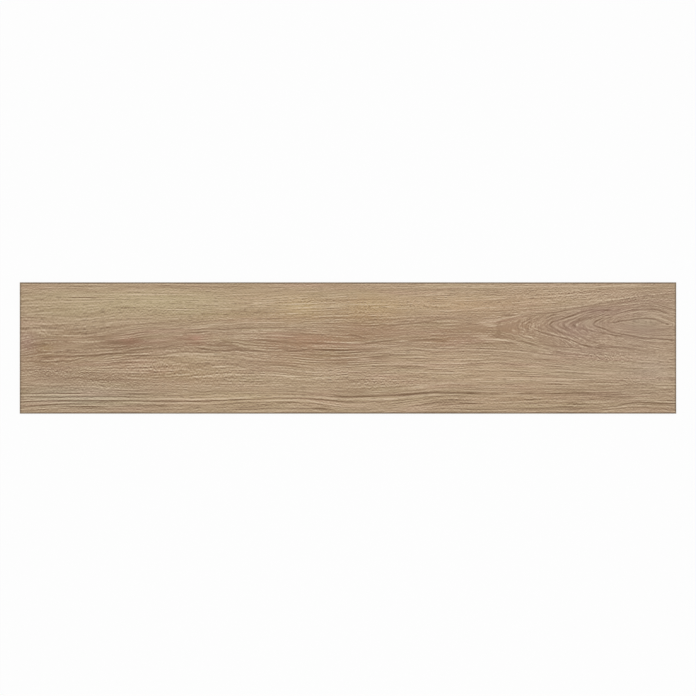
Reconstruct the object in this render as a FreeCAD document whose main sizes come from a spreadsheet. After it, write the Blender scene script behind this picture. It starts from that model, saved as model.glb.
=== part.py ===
"""Wood look porcelain plank tile: one pressed and fired slab with ground square edges and a keyed back.

The plank lies on its back: X runs along its length, Y across it and Z up through its thickness.
The origin is the middle of the bedding plane, on which the ribs of the back stand.
"""

import FreeCAD, Part
import os
import Sketcher

# Driving dimensions: alias, value in millimetres or degrees, what it sets
SIZES = [
    ("plank_length", 1000, "overall length of the plank"),
    ("plank_width", 200, "overall width of the plank"),
    ("plank_thickness", 9, "from the bedding plane to the printed face"),
    ("face_bevel", 0.8, "width of the bevel ground along the printed face's edges"),
    ("back_bevel", 1.2, "width of the bevel pressed along the back's edges"),
    ("rim_width", 10, "plain rim round the back, from the plank's edge to the first cell"),
    ("cell_pitch", 30, "wanted spacing of the back's cells, evened out to fill the back"),
    ("rib_width", 3, "rib left between two cells, at the bedding plane"),
    ("cell_depth", 0.8, "depth of a cell above the bedding plane"),
    ("cell_draft", 35, "lean of a cell's walls away from upright, in degrees"),
]

# The cells share out what the rims leave, an even number each way, so that a rib runs along each centre line
FIELD_LENGTH = "(Sizes.plank_length - 2 * Sizes.rim_width + Sizes.rib_width)"
FIELD_WIDTH = "(Sizes.plank_width - 2 * Sizes.rim_width + Sizes.rib_width)"
CELLS_ALONG = f"2 * max(1; round({FIELD_LENGTH} / (2 * Sizes.cell_pitch)))"
CELLS_ACROSS = f"2 * max(1; round({FIELD_WIDTH} / (2 * Sizes.cell_pitch)))"
STEP_ALONG = f"{FIELD_LENGTH} / ({CELLS_ALONG})"
STEP_ACROSS = f"{FIELD_WIDTH} / ({CELLS_ACROSS})"


def add_sizes(doc):
    """Puts the driving dimensions into a spreadsheet, one row each: name, value and note."""
    sheet = doc.addObject("Spreadsheet::Sheet", "Sizes")
    for row, (alias, value, note) in enumerate(SIZES, start=1):
        sheet.set(f"A{row}", alias)
        sheet.set(f"B{row}", str(value))
        sheet.set(f"C{row}", note)
        sheet.setAlias(f"B{row}", alias)
    doc.recompute()
    return sheet


def add_rectangle_sketch(body, name):
    """Adds a sketch on the bedding plane with four sides in a loop, and returns it.

    Sides 0 and 2 run along X, and sides 1 and 3 along Y. Corner (0, 1) is the one nearest -X and -Y.
    """
    sketch = body.newObject("Sketcher::SketchObject", name)
    plane = next(p for p in body.Origin.OriginFeatures if p.Role == "XY_Plane")
    sketch.AttachmentSupport = [(plane, "")]
    sketch.MapMode = "FlatFace"
    corners = [FreeCAD.Vector(x, y, 0) for x, y in ((-2, -1), (2, -1), (2, 1), (-2, 1))]
    for i in range(4):
        sketch.addGeometry(Part.LineSegment(corners[i], corners[(i + 1) % 4]), False)
    for i in range(4):
        sketch.addConstraint(Sketcher.Constraint("Coincident", i, 2, (i + 1) % 4, 1))
    for side, direction in enumerate(("Horizontal", "Vertical", "Horizontal", "Vertical")):
        sketch.addConstraint(Sketcher.Constraint(direction, side))
    return sketch


def bind_constraint(sketch, name, constraint, expression):
    """Adds a dimension to a sketch, under a name, and ties it to the spreadsheet."""
    number = sketch.addConstraint(constraint)
    sketch.renameConstraint(number, name)
    sketch.setExpression(f"Constraints.{name}", expression)


def edges_at_height(shape, height):
    """Names of the straight edges that lie in the level plane at that height."""
    tolerance = 1e-6
    names = []
    for number, edge in enumerate(shape.Edges, start=1):
        if all(abs(vertex.Point.z - height) < tolerance for vertex in edge.Vertexes):
            names.append(f"Edge{number}")
    return names


def add_slab(doc, body):
    """The pressed slab, square-edged, centred on the origin and standing on the bedding plane."""
    outline = add_rectangle_sketch(body, "SlabOutline")
    length = Sketcher.Constraint("DistanceX", 0, 1, 0, 2, 4)
    width = Sketcher.Constraint("DistanceY", 1, 1, 1, 2, 2)
    bind_constraint(outline, "slab_length", length, "Sizes.plank_length")
    bind_constraint(outline, "slab_width", width, "Sizes.plank_width")
    outline.addConstraint(Sketcher.Constraint("Symmetric", 0, 1, 2, 1, -1, 1))
    slab = body.newObject("PartDesign::Pad", "Slab")
    slab.Profile = outline
    slab.setExpression("Length", "Sizes.plank_thickness")
    doc.recompute()
    return slab


def add_bevel(doc, body, base, name, height, size):
    """Bevels, at 45 degrees, the four edges of base that lie at that height."""
    bevel = body.newObject("PartDesign::Chamfer", name)
    bevel.Base = (base, edges_at_height(base.Shape, height))
    bevel.setExpression("Size", size)
    doc.recompute()
    return bevel


def add_row(body, name, direction, step, count):
    """One direction of a grid: copies at an even step along that direction."""
    row = body.newObject("PartDesign::LinearPattern", name)
    row.Direction = direction
    row.Mode = "Spacing"
    row.setExpression("Offset", step)
    row.setExpression("Occurrences", count)
    return row


def add_key_cells(doc, body):
    """The keyed back: shallow cells with leaning walls, in rows between ribs that hold the adhesive."""
    outline = add_rectangle_sketch(body, "CellOutline")
    first_x = Sketcher.Constraint("DistanceX", 0, 1, -1, 1, 2)
    first_y = Sketcher.Constraint("DistanceY", 0, 1, -1, 1, 1)
    mouth_length = Sketcher.Constraint("DistanceX", 0, 1, 0, 2, 4)
    mouth_width = Sketcher.Constraint("DistanceY", 1, 1, 1, 2, 2)
    bind_constraint(outline, "first_x", first_x, "Sizes.plank_length / 2 - Sizes.rim_width")
    bind_constraint(outline, "first_y", first_y, "Sizes.plank_width / 2 - Sizes.rim_width")
    bind_constraint(outline, "mouth_length", mouth_length, f"{STEP_ALONG} - Sizes.rib_width")
    bind_constraint(outline, "mouth_width", mouth_width, f"{STEP_ACROSS} - Sizes.rib_width")
    cell = body.newObject("PartDesign::Pocket", "Cell")
    cell.Profile = outline
    cell.Reversed = True
    cell.setExpression("Length", "Sizes.cell_depth")
    cell.setExpression("TaperAngle", "-Sizes.cell_draft * 1 deg")
    doc.recompute()
    grid = body.newObject("PartDesign::MultiTransform", "CellGrid")
    grid.Originals = [cell]
    grid.Transformations = [
        add_row(body, "CellsAcross", (outline, ["V_Axis"]), STEP_ACROSS, CELLS_ACROSS),
        add_row(body, "CellsAlong", (outline, ["H_Axis"]), STEP_ALONG, CELLS_ALONG),
    ]
    body.Tip = grid
    doc.recompute()
    return grid


def check_document(doc):
    """Stops if any object failed to recompute."""
    failed = [o.Name for o in doc.Objects if {"Invalid", "Error"} & set(o.State)]
    if failed:
        raise RuntimeError(f"failed to recompute: {failed}")


def export_piece(body):
    """Writes a finished piece to its own file, named after its label."""
    shape = body.Shape
    if shape.isNull() or not shape.isValid() or len(shape.Solids) != 1:
        raise RuntimeError(f"{body.Label} is not one valid solid")
    os.makedirs("parts", exist_ok=True)
    shape.exportStep(f"parts/{body.Label}.step")
    box = shape.BoundBox
    print(f"{body.Label}: {box.XLength:.2f} x {box.YLength:.2f} x {box.ZLength:.2f} mm, "
          f"{shape.Volume / 1000:.1f} cm3, {len(shape.Faces)} faces")


def main():
    doc = FreeCAD.newDocument("PlankTile")
    sheet = add_sizes(doc)
    body = doc.addObject("PartDesign::Body", "PlankTile")
    body.Label = "plank_tile"
    slab = add_slab(doc, body)
    face = add_bevel(doc, body, slab, "FaceBevel", sheet.plank_thickness, "Sizes.face_bevel")
    add_bevel(doc, body, face, "BackBevel", 0, "Sizes.back_bevel")
    add_key_cells(doc, body)
    check_document(doc)
    export_piece(body)


main()
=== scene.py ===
import bpy
import numpy as np
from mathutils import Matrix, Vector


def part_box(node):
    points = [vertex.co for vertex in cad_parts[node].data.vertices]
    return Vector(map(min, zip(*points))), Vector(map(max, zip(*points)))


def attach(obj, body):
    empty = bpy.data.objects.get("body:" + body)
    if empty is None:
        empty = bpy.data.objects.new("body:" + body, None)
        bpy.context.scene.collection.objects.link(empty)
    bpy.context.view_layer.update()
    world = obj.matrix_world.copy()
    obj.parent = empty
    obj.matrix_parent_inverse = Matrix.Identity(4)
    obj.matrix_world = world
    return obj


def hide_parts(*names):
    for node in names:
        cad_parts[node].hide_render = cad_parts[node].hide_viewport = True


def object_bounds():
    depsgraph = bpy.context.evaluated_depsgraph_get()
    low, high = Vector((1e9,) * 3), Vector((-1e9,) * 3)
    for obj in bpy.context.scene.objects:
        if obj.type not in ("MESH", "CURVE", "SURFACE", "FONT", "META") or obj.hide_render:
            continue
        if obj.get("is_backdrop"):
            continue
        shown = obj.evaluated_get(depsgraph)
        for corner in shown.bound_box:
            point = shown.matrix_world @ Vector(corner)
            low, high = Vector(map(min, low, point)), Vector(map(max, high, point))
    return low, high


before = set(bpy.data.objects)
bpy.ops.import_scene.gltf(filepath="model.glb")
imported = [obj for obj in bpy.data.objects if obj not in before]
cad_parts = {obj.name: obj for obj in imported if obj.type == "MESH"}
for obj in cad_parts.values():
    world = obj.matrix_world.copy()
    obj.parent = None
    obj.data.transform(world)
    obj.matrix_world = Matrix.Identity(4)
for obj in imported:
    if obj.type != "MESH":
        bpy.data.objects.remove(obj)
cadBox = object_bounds()
mm = 0.001
print("frame loaded")


# smooth curve through given points: a cubic between neighbours, with slopes from the chords beside them
def curveThrough(points, x):
    px, py = np.array(points, float).T
    slope = np.gradient(py, px) if len(px) > 2 else np.full(2, (py[1] - py[0]) / (px[1] - px[0]))
    i = np.clip(np.searchsorted(px, x) - 1, 0, len(px) - 2)
    step = px[i + 1] - px[i]
    t = np.clip((x - px[i]) / step, 0, 1)
    ends = (2 * t**3 - 3 * t**2 + 1) * py[i] + (3 * t**2 - 2 * t**3) * py[i + 1]
    return ends + step * ((t**3 - 2 * t**2 + t) * slope[i] + (t**3 - t**2) * slope[i + 1])


# eased step: 0 below low, 1 above high and 3t^2 - 2t^3 between
def easedStep(value, low, high):
    t = np.clip((value - low) / (high - low), 0, 1)
    return t * t * (3 - 2 * t)


# value noise: random heights on a square lattice, eased between the four corners round each point
def latticeNoise(u, v, seed):
    size = 256
    heights = np.random.default_rng(seed).random((size, size))
    i = np.floor(u).astype(int)
    j = np.floor(v).astype(int)
    s = easedStep(u - i, 0, 1)
    t = easedStep(v - j, 0, 1)
    left, right = i % size, (i + 1) % size
    low, high = j % size, (j + 1) % size
    near = heights[left, low] * (1 - s) + heights[right, low] * s
    far = heights[left, high] * (1 - s) + heights[right, high] * s
    return near * (1 - t) + far * t


# display levels of 0 to 255 as linear light: the power part of the display curve
def linearLight(levels):
    return ((np.asarray(levels) / 255 + 0.055) / 1.055) ** 2.4


# what the printed face shows, drawn one by one: x runs along the plank and y across it, from its middle
grain = {
    "heartLine": [(-500, 2), (-400, 10), (-250, 15), (-130, 14), (0, 14), (110, 24), (205, 28), (308, 34),
                  (376, 37), (414, 41), (455, 40), (500, 35)],
    "heartGap": [(-500, 80), (120, 78), (205, 62), (240, 55), (308, 40), (344, 31), (376, 22), (394, 17),
                 (410, 11), (428, 7), (445, 5), (470, 4.3), (485, 6), (500, 9)],
    "point": 1.5,  # 1 gives sharp points along the heart line, 2 round ones
    "upperSpread": [(300, 0.98), (330, 0.88), (360, 0.81), (385, 0.74), (412, 0.66), (448, 0.93),
                    (500, 0.9)],
    "lowerSpread": [(300, 0.8), (320, 0.9), (340, 1.28), (375, 1.27), (394, 1.15), (500, 1.1)],
    # guides that the straight grain follows, from bottom to top: level, then points from left to right
    "guides": [
        (-106, [(-500, -100), (-445, -97.5), (-250, -97), (-150, -94), (-75, -92), (0, -98.5), (20, -99),
                (50, -97), (100, -93), (150, -89), (200, -90), (300, -89), (375, -90), (440, -84),
                (500, -86)]),
        (-93, [(-500, -88.5), (-445, -84.5), (-350, -85), (-250, -84), (-200, -83), (-150, -80),
               (-110, -77.3), (-75, -77), (-40, -81), (0, -86.5), (20, -87.3), (50, -84), (80, -81.5),
               (100, -78.5), (125, -75), (150, -73), (200, -74.5), (300, -73.5), (400, -73), (500, -72)]),
        (-81, [(-500, -73.5), (-450, -72.5), (-350, -72), (-250, -71), (-150, -68), (-100, -67.5),
               (-75, -67.7), (-50, -70), (0, -73.5), (50, -72), (80, -70), (100, -68), (130, -64),
               (150, -63), (200, -65.5), (300, -65), (400, -66), (500, -66)]),
        (-69, [(-500, -58), (-400, -58), (-350, -60.5), (-300, -61), (-200, -60), (-100, -60.5),
               (0, -62.5), (50, -62), (100, -59), (150, -55.5), (200, -55.5), (300, -55), (400, -57),
               (500, -57)]),
        (-54, [(-500, -45), (-470, -42), (-450, -42), (-400, -42), (-350, -45), (-300, -47), (-250, -45),
               (-200, -41), (-150, -40.5), (-100, -42), (-50, -45), (0, -44), (50, -44), (100, -45),
               (150, -46), (200, -44), (250, -44.5), (300, -46), (350, -48), (400, -49), (500, -49)]),
        (-24, [(-500, -27.5), (-475, -25), (-435, -25), (-420, -21), (-400, -16), (-375, -15),
               (-350, -11), (-300, -5), (-275, -1.5), (-250, 0), (-200, -1), (-175, -2.5), (-150, -7),
               (-125, -9.5), (-100, -11), (-75, -13), (-50, -15.5), (0, -15.5), (25, -14.5), (50, -13),
               (100, -12), (135, -13.5), (200, -12), (250, -13), (300, -17), (350, -22), (400, -27),
               (450, -29), (500, -29)]),
        (-16, [(-500, -18), (-450, -14.5), (-400, -9.5), (-350, -5.5), (-300, 1.5), (-275, 4.5),
               (-250, 7), (-225, 7.5), (-200, 6), (-175, 4), (-150, -1), (-125, -4), (-100, -5),
               (-50, -7), (0, -7), (50, -4.5), (100, -2), (130, -4), (200, -4.5), (250, -7), (300, -11.5),
               (350, -16), (400, -21), (450, -23), (500, -24)]),
        (12, [(-500, -5), (-475, 1), (-450, 6), (-400, 7.5), (-350, 8), (-300, 13), (-250, 17),
              (-200, 21), (-150, 23), (-50, 23), (0, 21), (30, 19.5), (70, 20.5), (100, 23), (150, 25.5),
              (200, 27), (235, 26), (255, 21), (275, 14), (300, 7), (350, 0), (400, -4), (450, -6),
              (500, -7)]),
        (16, [(-500, -1), (-475, 5), (-450, 10), (-400, 11.5), (-350, 12), (-300, 17), (-250, 21),
              (-200, 25), (-150, 27), (-50, 27), (0, 25), (30, 23.5), (70, 24.5), (100, 27), (150, 29.5),
              (200, 32), (235, 36), (255, 41), (275, 46), (300, 50.5), (350, 57), (400, 61.5), (450, 66),
              (500, 67)]),
        (36, [(-500, 12), (-475, 17), (-450, 16), (-400, 17), (-375, 22), (-350, 27), (-320, 33),
              (-300, 35), (-250, 36.5), (-200, 40), (-150, 42.5), (-100, 43), (-50, 45), (0, 47),
              (50, 48), (100, 51), (150, 52), (200, 53), (250, 54.5), (300, 58.5), (350, 62.5), (400, 68),
              (450, 75), (500, 79)]),
        (44, [(-500, 33), (-450, 32), (-425, 31.5), (-400, 34), (-350, 41), (-300, 44), (-250, 46),
              (-200, 49), (-150, 49.5), (-100, 50), (-50, 52), (0, 55), (50, 55.5), (100, 57.5),
              (150, 59.5), (200, 61), (250, 62.5), (300, 65.5), (350, 69.5), (400, 74.5), (450, 81),
              (500, 85)]),
        (62, [(-500, 57), (-450, 58), (-400, 60), (-350, 64.5), (-300, 65.5), (-250, 63.5), (-200, 62.5),
              (-150, 62), (-100, 63), (0, 67), (100, 70), (200, 73), (250, 74.5), (300, 76.5),
              (350, 79.5), (400, 83.5), (450, 88), (500, 91)]),
        (78, [(-500, 79), (-450, 80.5), (-350, 78.5), (-250, 77.5), (-150, 75), (-100, 77), (-50, 80),
              (0, 83), (20, 84), (60, 82), (100, 83), (150, 85), (200, 86), (250, 86.5), (300, 87),
              (350, 88.5), (400, 91.5), (450, 95), (500, 97)]),
        (98, [(-500, 99), (-250, 98), (-150, 96), (-50, 99), (20, 101), (100, 101), (250, 104),
              (350, 104), (450, 109), (500, 111)]),
    ],
    # drawn lines: tone (dark below 0, pale above), half width, then points from left to right
    "lines": [
        (-1.0, 1.0, [(-500, -68.5), (-470, -69), (-450, -68.5), (-432, -69), (-405, -69.5)]),
        (-0.85, 1.0, [(-485, -74), (-440, -74.5), (-400, -73.5), (-360, -73.5), (-320, -75),
                      (-295, -74)]),
        (0.85, 1.2, [(-497, -77), (-440, -77.5), (-400, -77.7), (-330, -78), (-260, -77.5), (-230, -78),
                    (-190, -77), (-150, -76)]),
        (-1.0, 1.1, [(-500, -82), (-480, -81.5), (-445, -80.5), (-400, -80), (-360, -80.5), (-310, -80.5),
                     (-295, -81), (-250, -81), (-230, -81.5), (-200, -80), (-160, -79), (-135, -78),
                     (-105, -76.6), (-75, -76.5), (-55, -78), (-35, -79), (-10, -81.5), (15, -83)]),
        (0.7, 1.2, [(-480, -84.5), (-450, -83.5), (-410, -83)]),
        (0.7, 1.0, [(-497, -71), (-440, -71.5), (-400, -71.5), (-330, -72)]),
        (-0.9, 1.2, [(-500, -91), (-480, -88.5), (-460, -87), (-440, -85.5), (-398, -85.5)]),
        (-0.4, 1.6, [(-440, -87.5), (-410, -89), (-382, -90)]),
        (0.4, 1.2, [(-312, -84), (-278, -84)]),
        (0.4, 1.2, [(-256, -84), (-214, -84)]),
        (-0.7, 1.4, [(-345, -88), (-300, -88), (-270, -87)]),
        (-0.6, 1.0, [(-238, -87), (-210, -86.5), (-162, -84), (-130, -82.6), (-95, -82.2), (-62, -84.5)]),
        (-0.5, 1.0, [(-342, -69), (-300, -69.5), (-273, -69)]),
        (-0.55, 1.0, [(-292, -72.5), (-262, -72.5), (-240, -71), (-213, -72)]),
        (-0.6, 0.9, [(-242, -67.5), (-215, -66.5), (-205, -65), (-183, -65)]),
        (-0.75, 1.4, [(-175, -92.6), (-140, -92.2), (-100, -92), (-60, -92.3), (-36, -92.6)]),
        (0.7, 1.3, [(-117, -74), (-70, -73.8), (-50, -75), (-30, -76.7), (-10, -77.5)]),
        (0.55, 1.0, [(-170, -81.8), (-130, -79.9), (-100, -79.2), (-70, -79.2), (-48, -81)]),
        (-0.5, 1.0, [(-157, -69.5), (-125, -69.5), (-85, -70), (-60, -71), (-33, -72.5)]),
        (-1.1, 1.5, [(-22, -73), (-5, -74), (20, -73.6), (60, -72.5), (80, -71.2), (100, -70),
                     (125, -68.2), (140, -67.6), (160, -68), (202, -69)]),
        (0.7, 1.6, [(-7, -77), (30, -77.5), (60, -77), (80, -76), (100, -74), (120, -72), (142, -71)]),
        (-0.6, 1.0, [(-7, -84), (20, -83), (40, -81.5), (80, -79.5), (100, -78), (125, -74.5),
                     (147, -73)]),
        (-0.4, 1.0, [(48, -87), (75, -85), (90, -82.5), (105, -80), (124, -77.5)]),
        (-0.85, 1.0, [(133, -88.5), (150, -86.3), (178, -84.8), (202, -84.4)]),
        (-0.4, 1.0, [(98, -84), (130, -83), (162, -81)]),
        (-0.6, 1.0, [(201, -70), (227, -70)]),
        (-0.65, 1.0, [(253, -70), (290, -69), (320, -69), (350, -68), (382, -68.3)]),
        (-0.95, 0.9, [(374, -68.2), (390, -67.9), (414, -67.9)]),
        (-0.4, 1.3, [(228, -78), (260, -77), (282, -79)]),
        (0.45, 1.1, [(198, -73), (282, -73)]),
        (-0.5, 1.1, [(273, -84), (320, -84), (354, -84.3)]),
        (-0.5, 1.0, [(328, -86), (360, -86), (387, -87.5)]),
        (-0.65, 1.0, [(378, -91.5), (395, -90), (405, -88.5), (418, -87.5)]),
        (-0.85, 1.2, [(413, -86.5), (430, -84), (440, -82.7), (460, -83.5), (475, -84.5), (500, -85)]),
        (-0.5, 1.7, [(170, -92.3), (240, -92), (300, -92), (340, -91.6), (387, -91)]),
        (-0.6, 1.1, [(-500, 94.5), (-440, 94.3), (-380, 93.9), (-310, 94), (-250, 93.5), (-180, 93),
                     (-130, 93.5), (-100, 92.5)]),
        (0.5, 1.5, [(110, 93.5), (180, 93.5), (240, 93), (300, 94), (360, 93.7), (440, 94.3)]),
        (-0.6, 0.9, [(-500, -32.5), (-470, -33), (-433, -32.5)]),
        (-0.55, 1.2, [(-432, -46), (-410, -45), (-395, -47), (-380, -48), (-343, -48.5)]),
        (-0.5, 1.0, [(-380, -43), (-348, -45)]),
        (-0.9, 1.0, [(-480, -20.5), (-450, -21), (-440, -20), (-423, -19)]),
        (0.5, 0.9, [(-457, -19), (-435, -18.5), (-425, -17), (-413, -14.8)]),
        (-0.55, 1.0, [(-477, -6.5), (-450, -6.5), (-410, -7), (-393, -7.7)]),
        (-0.55, 1.0, [(-402, 0), (-370, 1.2), (-350, 1), (-328, 2)]),
        (-0.6, 1.8, [(-451, -12.7), (-428, -12.6)]),
        (-0.9, 1.2, [(-434, -12.8), (-410, -12.2), (-380, -11), (-370, -9.5), (-345, -8.2),
                     (-319, -6.6)]),
        (-0.9, 1.1, [(-347, -12), (-322, -11.2), (-290, -11), (-278, -9.5), (-260, -6.6), (-230, -6),
                     (-203, -6.5)]),
        (-0.9, 1.1, [(-332, -4.7), (-312, -2), (-303, -1), (-290, 0), (-280, 1), (-272, 3), (-260, 5.5)]),
        (-0.5, 1.1, [(-268, 5), (-240, 7), (-218, 8.2)]),
        (-0.5, 1.0, [(-342, -17.5), (-320, -16), (-290, -14), (-268, -13)]),
        (0.7, 1.5, [(-277, -10), (-250, -9), (-225, -9), (-193, -10)]),
        (0.5, 1.0, [(-232, -16), (-193, -15.5)]),
        (-0.6, 0.9, [(-272, -15.5), (-250, -17)]),
        (-0.6, 0.9, [(-210, -13), (-188, -13)]),
        (-0.5, 1.0, [(-260, -21.5), (-225, -24), (-203, -25)]),
        (-0.95, 1.1, [(-244, 24), (-228, 24), (-211, 26)]),
        (-0.6, 1.1, [(-247, 26.5), (-225, 28), (-205, 29), (-185, 28.5), (-165, 30), (-138, 31)]),
        (0.6, 1.2, [(-237, 31.5), (-215, 34), (-205, 36), (-190, 40)]),
        (0.5, 1.1, [(-232, 19.5), (-211, 24)]),
        (-0.4, 1.2, [(-262, 14), (-248, 14), (-236, 11.5)]),
        (-1.1, 1.2, [(-232, 0.7), (-215, -2), (-205, -3), (-195, -3.6), (-172, -4)]),
        (-1.1, 1.2, [(-175, -0.3), (-160, -3), (-150, -4), (-130, -5)]),
        (-0.7, 1.0, [(-167, 0.2), (-138, -0.5)]),
        (-0.5, 2.5, [(-208, 4), (-190, 5), (-170, 4)]),
        (-0.55, 1.0, [(-204, 9.5), (-192, 11.5), (-185, 9.5), (-172, 8)]),
        (0.5, 1.2, [(-203, 12.3), (-185, 14.5), (-163, 17)]),
        (-0.8, 1.1, [(-142, 13), (-125, 12), (-118, 10.6), (-93, 11)]),
        (-0.8, 1.1, [(-107, 9), (-90, 8), (-60, 7), (-35, 6.6), (-8, 6)]),
        (-0.7, 1.0, [(-95, 20.2), (-73, 18.8)]),
        (-0.8, 1.2, [(-91, -5), (-75, -4.5), (-66, -2.8), (-55, -0.8)]),
        (-1.0, 1.2, [(-51, -1.8), (-35, -3), (-10, -3.4), (15, -2.5), (41, -1.4)]),
        (-0.85, 1.0, [(-14, -8.3), (0, -8), (12, -6.5), (25, -5.5), (42, -5.2)]),
        (0.3, 1.3, [(-50, -11.5), (-20, -12.2), (5, -11.8)]),
        (-0.6, 1.0, [(-108, 0), (-80, 0)]),
        (-0.5, 1.0, [(-128, -1), (-103, -1)]),
        (-0.65, 1.0, [(-132, -26), (-100, -26), (-78, -27)]),
        (-0.9, 0.9, [(-83, -45), (-56, -45)]),
        (-0.6, 1.2, [(-78, 37.7), (-66, 39.5), (-52, 40.2)]),
        (-0.5, 1.0, [(-70, 52.5), (-55, 51.5), (-43, 51)]),
        (-0.5, 1.2, [(-172, 31), (-143, 31)]),
        (-0.5, 1.1, [(-132, 31), (-98, 31.5)]),
        (0.5, 1.1, [(-172, 23.3), (-150, 25), (-120, 27), (-98, 27.5)]),
        (-0.4, 2.0, [(-177, 55), (-150, 55), (-123, 56.5)]),
        (-0.95, 1.1, [(0, 19.7), (15, 18), (26, 14.5)]),
        (-0.9, 1.2, [(22, 6.7), (35, 7.5), (43, 9), (55, 10.5), (73, 11.6)]),
        (-0.85, 1.1, [(89, 11.4), (110, 12), (125, 12.6), (153, 10.8)]),
        (-0.6, 1.0, [(43, 6), (67, 5.5)]),
        (-0.5, 1.0, [(62, 6.9), (80, 8), (108, 7.2)]),
        (-0.8, 1.1, [(63, 33.7), (80, 36), (95, 37), (105, 38), (117, 39.7), (131, 40.1)]),
        (-0.7, 1.0, [(80, 42), (98, 41.5)]),
        (-0.55, 1.0, [(31, 33.8), (45, 34.5), (56, 36.3)]),
        (-0.6, 1.1, [(127, 42.8), (145, 44), (155, 45), (175, 45.4)]),
        (-0.5, 0.9, [(53, -10), (80, -11), (110, -11), (145, -10)]),
        (-0.4, 0.9, [(113, -8), (158, -8.5)]),
        (-0.6, 0.9, [(-3, -23), (30, -21.5), (55, -19.5), (80, -19), (120, -19.5), (153, -19)]),
        (-0.5, 0.9, [(35, -16), (67, -16)]),
        (-0.6, 0.8, [(173, -45), (203, -44.5)]),
        (0.6, 0.9, [(183, -47), (208, -46.5)]),
        (-0.6, 0.8, [(274, -44), (300, -43.5), (317, -43.5)]),
        (0.5, 0.9, [(284, -45.6), (318, -45.6)]),
        (-0.5, 0.9, [(170, -7), (200, -7), (223, -7.6)]),
        (-0.6, 0.9, [(208, -18), (239, -18)]),
        (-0.5, 0.9, [(338, -50), (373, -49.5)]),
        (-0.8, 0.9, [(-421, 76.5), (-400, 77), (-377, 77)]),
        (0.6, 0.9, [(-418, 75), (-392, 75)]),
        (-0.55, 0.9, [(-383, 79.3), (-360, 77), (-339, 73.7)]),
        (-0.6, 1.0, [(-355, 62), (-327, 61)]),
        (-0.55, 1.0, [(-428, 26.6), (-400, 28.5), (-380, 30), (-357, 32.3)]),
        (-0.5, 1.0, [(-408, 20), (-385, 23), (-367, 26)]),
        (-0.5, 1.0, [(-323, 35.3), (-300, 37), (-280, 38.5), (-259, 40.8)]),
        (-0.5, 1.0, [(-348, 25.7), (-325, 28.5), (-300, 30), (-277, 31.2)]),
        (-0.55, 0.9, [(-288, 28), (-255, 28.6)]),
        (-0.7, 1.2, [(-343, 19), (-325, 22), (-302, 26)]),
        (-0.7, 1.0, [(-408, 14.7), (-388, 17), (-367, 18.2)]),
        (0.3, 1.0, [(-408, 17), (-385, 20)]),
        (0.3, 1.0, [(-403, 12), (-380, 15)]),
        (-0.6, 1.1, [(-403, 10.4), (-382, 11.2)]),
        (-0.6, 2.4, [(-365, 8), (-340, 8), (-322, 10.3)]),
        (-0.8, 1.2, [(-359, -1.8), (-350, -2.2)]),
        (-0.5, 1.1, [(-500, -0.5), (-485, 4), (-466, 8.3)]),
        (-0.35, 1.1, [(-481, 0), (-455, 6)]),
        (-0.9, 1.3, [(-472, -5.3), (-462, -6.4)]),
        (-1.0, 1.5, [(-465, 5), (-457, 5.8)]),
        (-0.7, 2.4, [(-467, -13), (-451, -13.5)]),
        (-0.7, 1.2, [(-484, 6.8), (-476, 5.6), (-466, 3.2)]),
        (0.5, 1.2, [(-462, 1.5), (-457, 4)]),
        (-0.5, 0.9, [(-464, 11.7), (-440, 11.4)]),
        (-0.5, 0.8, [(-466, 21), (-440, 20.6), (-408, 20.8)]),
        (-0.7, 0.9, [(-438, -6.4), (-408, -6.6)]),
        (0.5, 1.0, [(-416, -2.6), (-390, -3)]),
        (-1.0, 1.3, [(-463, -15.2), (-455, -15.8)]),
        (-0.5, 1.0, [(-500, 24.3), (-480, 22), (-466, 25.3)]),
        (0.6, 1.0, [(-488, 28.5), (-453, 28.5)]),
        (0.5, 1.0, [(-476, 25), (-456, 20.6)]),
        (-0.5, 1.0, [(-493, 46.5), (-463, 46)]),
        # the cathedral's long arms and its eye
        (-0.8, 1.1, [(400, 49.7), (412, 52.3), (424, 55.6), (434, 57.4), (442, 58.2), (452, 58.8)]),
        (-0.9, 1.1, [(450, 58.8), (460, 59), (468, 58.8), (474, 57.6), (480, 55), (492, 52.6)]),
        (0.4, 1.0, [(429, 41.2), (442, 42.5), (456, 42.6), (465, 41)]),
        (-0.95, 1.1, [(402, 24.3), (418, 21), (434, 18.2), (452, 15), (475, 14), (500, 10.8)]),
        (-0.6, 1.0, [(350, 30.5), (365, 27.5), (388, 23.5), (407, 19.5), (430, 15.5), (447, 12.2)]),
        (0.6, 1.0, [(387, 27.3), (402, 22.5), (412, 20.3), (424, 17.6), (438, 14.2)]),
        (0.6, 1.0, [(446, 13), (466, 12.1), (500, 8.3)]),
        (-1.0, 1.1, [(400, 38.6), (408, 39.3), (414, 41), (425, 42), (432, 43.4), (440, 44.4), (450, 45),
                     (458, 44.8), (466, 43.8), (473, 41.8), (480, 38.6), (488, 36.6)]),
        (-0.35, 0.9, [(415, 37.8), (428, 34.8), (445, 33.5), (465, 34), (481, 37.6)]),
        (0.6, 1.5, [(455, 51), (468, 48.5), (478, 44.5), (490, 38.7)]),
        (0.6, 1.0, [(380, 44.2), (390, 46.3), (401, 49.3)]),
        (0.5, 1.1, [(403, 49.8), (425, 53.6), (440, 55.5), (457, 56.3)]),
        (0.6, 1.2, [(482, 56.4), (492, 54.5), (500, 51.5)]),
        (-0.6, 1.8, [(362, 57), (385, 57.6), (392, 57.6)]),
        (-0.6, 1.0, [(383, 59.5), (395, 61.7), (408, 64.5)]),
        (-0.4, 1.2, [(397, 66), (425, 70), (448, 75)]),
        (-0.55, 1.0, [(275, 47.8), (290, 51), (300, 53), (318, 54.3), (330, 57.5), (350, 61), (365, 64),
                      (398, 69.5)]),
        (-0.4, 1.0, [(297, 48.5), (321, 51.5)]),
        (-0.4, 1.0, [(367, 61.6), (398, 65)]),
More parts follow.
